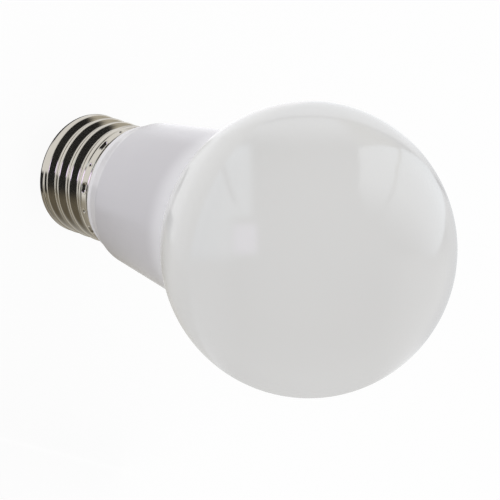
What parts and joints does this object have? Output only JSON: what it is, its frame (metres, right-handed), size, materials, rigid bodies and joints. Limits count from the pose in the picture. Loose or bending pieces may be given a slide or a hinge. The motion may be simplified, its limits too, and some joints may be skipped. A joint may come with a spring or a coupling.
{
  "type": "led bulb",
  "caption": "Household LED lamp: milky globe, white moulded housing with bevelled rim, and a rolled metal screw cap.",
  "frame": {"origin": "tip of the centre contact, on the lamp's axis, where the screw base seats in its holder", "axes": "+Z along the lamp's axis from the contact towards the globe; X and Y across it"},
  "size_m": [0.06, 0.06, 0.107],
  "materials": {
    "milky_plastic": "milky polycarbonate, glossy outside",
    "white_plastic": "white moulded plastic, satin gloss",
    "nickel_plate": "bright nickel plate on rolled sheet",
    "dark_insulator": "dark moulded insulator, glossy",
    "tinned_contact": "tinned, softly brushed",
    "drawn_aluminium": "drawn sheet, plain",
    "grey_pad": "soft grey pad",
    "white_mask": "white lacquer on aluminium",
    "led_body": "cream moulded body",
    "phosphor": "yellow silicone fill",
    "zinc_screw": "zinc plated",
    "socket_plastic": "off-white moulded plastic",
    "tinned_pin": "thinly plated pins",
    "board_laminate": "green lacquer on glass laminate",
    "black_sleeve": "dark shrunk sleeve",
    "blue_sleeve": "blue shrunk sleeve",
    "green_lacquer": "green lacquer",
    "ferrite": "sintered ferrite, dull",
    "bobbin_plastic": "dark moulded plastic",
    "winding_tape": "yellow tape over enamelled wire",
    "chip_plastic": "dark moulded body",
    "resistor_chip": "dark ceramic with tinned ends",
    "resistor_body": "blue-grey lacquer",
    "clear_sleeve": "shrunk sleeve, off-white",
    "tinned_wire": "tinned wire"
  },
  "bodies": {
    "root": {"diffuser": "milky_plastic", "housing": "white_plastic", "screw_shell": "nickel_plate", "cap_insulator": "dark_insulator", "centre_contact": "tinned_contact", "heat_sink": "drawn_aluminium", "thermal_pad": "grey_pad", "led_board": "white_mask", "led_packages": "led_body", "led_phosphors": "phosphor", "board_screws": "zinc_screw", "pin_socket": "socket_plastic", "board_pins": "tinned_pin", "driver_board": "board_laminate", "input_capacitor": "black_sleeve", "output_capacitor": "blue_sleeve", "filter_inductor": "green_lacquer", "inductor_core": "ferrite", "inductor_bobbin": "bobbin_plastic", "inductor_winding": "winding_tape", "bridge_rectifier": "chip_plastic", "driver_ic": "chip_plastic", "output_diode": "chip_plastic", "chip_resistors": "resistor_chip", "fusible_resistor": "resistor_body", "resistor_sleeve": "clear_sleeve", "shell_wire": "tinned_wire"}
  },
  "joints": []
}
